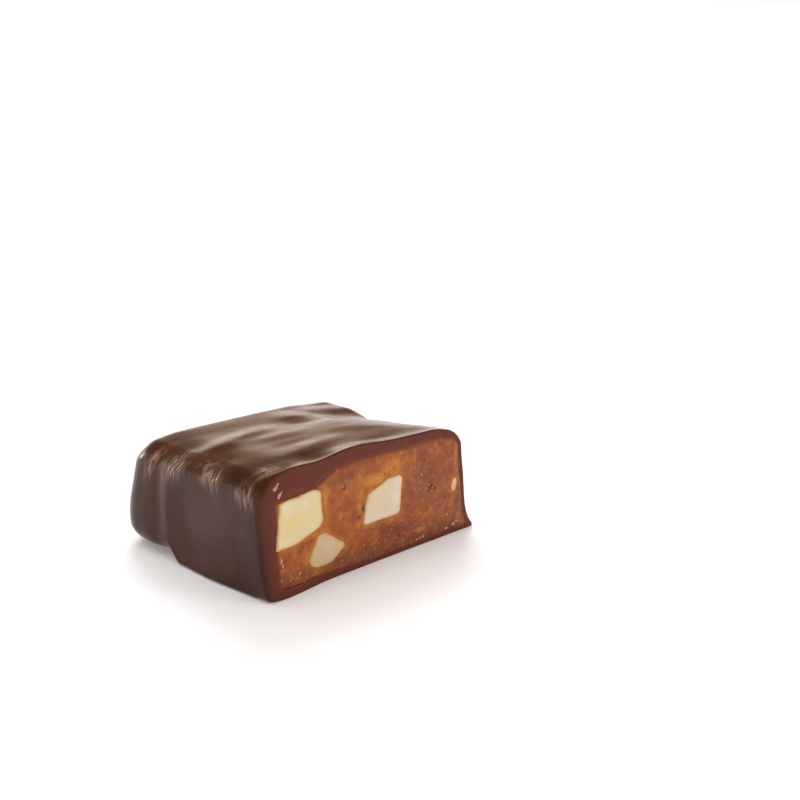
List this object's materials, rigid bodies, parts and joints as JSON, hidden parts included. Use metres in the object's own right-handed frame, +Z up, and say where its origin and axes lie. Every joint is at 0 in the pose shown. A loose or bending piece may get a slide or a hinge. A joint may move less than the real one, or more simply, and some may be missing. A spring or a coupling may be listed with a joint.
{
  "type": "chocolate coated butter toffee half bar",
  "caption": "Half of a chocolate-coated butter toffee bar, cut across to show soft toffee with pale nut pieces.",
  "frame": {"origin": "middle of the part's box, on the table that the base rests on", "axes": "+X along the width of the cut face, +Y from the cut face to the rounded uncut end, +Z up"},
  "size_m": [0.034, 0.0264, 0.0153],
  "materials": {
    "chocolate": "dark milk chocolate, softly glossy, with a satin top and a reddish brown cut",
    "toffee": "soft amber brown toffee, slightly sticky and translucent, fine grain and small bubbles",
    "nut": "pale cream nut flesh with a waxy, smooth cut"
  },
  "bodies": {
    "root": {"chocolate_coat": "chocolate", "toffee_filling": "toffee", "nut_piece_left": "nut", "nut_piece_middle": "nut", "nut_piece_low": "nut", "nut_sliver_right": "nut"}
  },
  "joints": []
}
